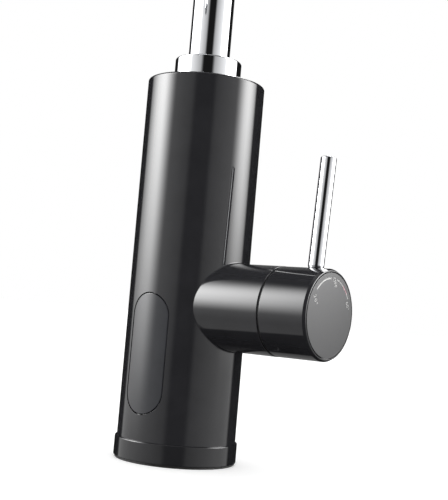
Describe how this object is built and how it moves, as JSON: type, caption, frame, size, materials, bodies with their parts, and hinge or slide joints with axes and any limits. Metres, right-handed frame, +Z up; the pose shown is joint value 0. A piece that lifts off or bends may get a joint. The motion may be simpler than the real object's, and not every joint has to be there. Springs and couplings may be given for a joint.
{
  "type": "electric instant water heater tap",
  "caption": "Kitchen tap that heats water as it flows: round black body with a front display, side lever on a rotary knob, and a swivelling chrome swan-neck spout.",
  "frame": {"origin": "middle of the base, on the worktop", "axes": "+Z up the body, -Y to the user, the way the display and the resting spout face, +X out along the handle"},
  "size_m": [0.1157, 0.167, 0.3826],
  "materials": {
    "black_lacquer": "gloss lacquer",
    "black_gloss_plastic": "gloss",
    "black_rubber": "matt",
    "grey_nylon": "moulded, fine grain",
    "black_nylon": "moulded, fine grain",
    "white_plastic": "moulded",
    "pale_plastic": "moulded",
    "steel": "brushed",
    "smoked_acrylic": "polished",
    "board_green": "solder mask",
    "dark_display": "polished",
    "brass": "turned",
    "aluminium": "sawn and extruded",
    "alumina": "lapped",
    "grey_satin_metal": "satin",
    "chrome": "mirror"
  },
  "bodies": {
    "body": {"body_shell": "black_lacquer", "base_ring": "black_gloss_plastic", "base_gasket": "black_rubber", "base_plate": "grey_nylon", "base_screws": "steel", "display_window": "smoked_acrylic", "window_gasket": "black_rubber", "display_board": "board_green", "display_module": "dark_display", "inlet_connector": "brass", "inlet_screen": "steel", "water_seals": "black_rubber", "cable_gland": "black_nylon", "gland_nut": "black_nylon", "terminal_block": "white_plastic", "board_frame": "grey_nylon", "board_screws": "steel", "control_board": "board_green", "relay": "white_plastic", "triac": "black_nylon", "heat_sink": "aluminium", "flow_housing": "grey_nylon", "flow_cap": "grey_nylon", "turbine_guides": "white_plastic", "turbine_axle": "steel", "flow_pickup": "black_nylon", "valve_body": "brass", "cartridge_seal": "black_rubber", "cartridge_body": "white_plastic", "fixed_disc": "alumina", "cartridge_nut": "brass", "handle_bush": "black_nylon", "position_sensor": "black_nylon", "chamber_can": "steel", "chamber_lid": "steel", "chamber_seal": "black_rubber", "chamber_screws": "steel", "heating_element": "steel", "element_terminals": "alumina", "thermal_cutout": "black_nylon", "temperature_probe": "brass", "outlet_connector": "brass", "outlet_locknut": "brass", "collar": "chrome", "spout_washer": "white_plastic"},
    "handle": {"moving_disc": "alumina", "spindle": "brass", "spindle_seal": "black_rubber", "knob": "black_lacquer", "knob_magnet": "steel", "knob_dial": "grey_satin_metal", "lever": "chrome", "knob_screw": "steel"},
    "spout": {"spout_nipple": "brass", "spout_seals": "black_rubber", "spout_pipe": "chrome", "aerator_housing": "chrome", "aerator_insert": "pale_plastic", "aerator_washer": "black_rubber"},
    "turbine": {"flow_turbine": "white_plastic"}
  },
  "joints": [
    {"name": "spout_swivel", "type": "hinge", "parent": "body", "child": "spout", "pos_m": [0, 0, 0.195], "axis": [0, 0, 1], "continuous": true},
    {"name": "handle_turn", "type": "hinge", "parent": "body", "child": "handle", "pos_m": [0.054, 0, 0.0789], "axis": [1, 0, 0], "range_deg": [-65.8, 74.2]},
    {"name": "turbine_spin", "type": "hinge", "parent": "body", "child": "turbine", "pos_m": [-0.007, 0, 0.0355], "axis": [0, 0, 1], "continuous": true}
  ]
}
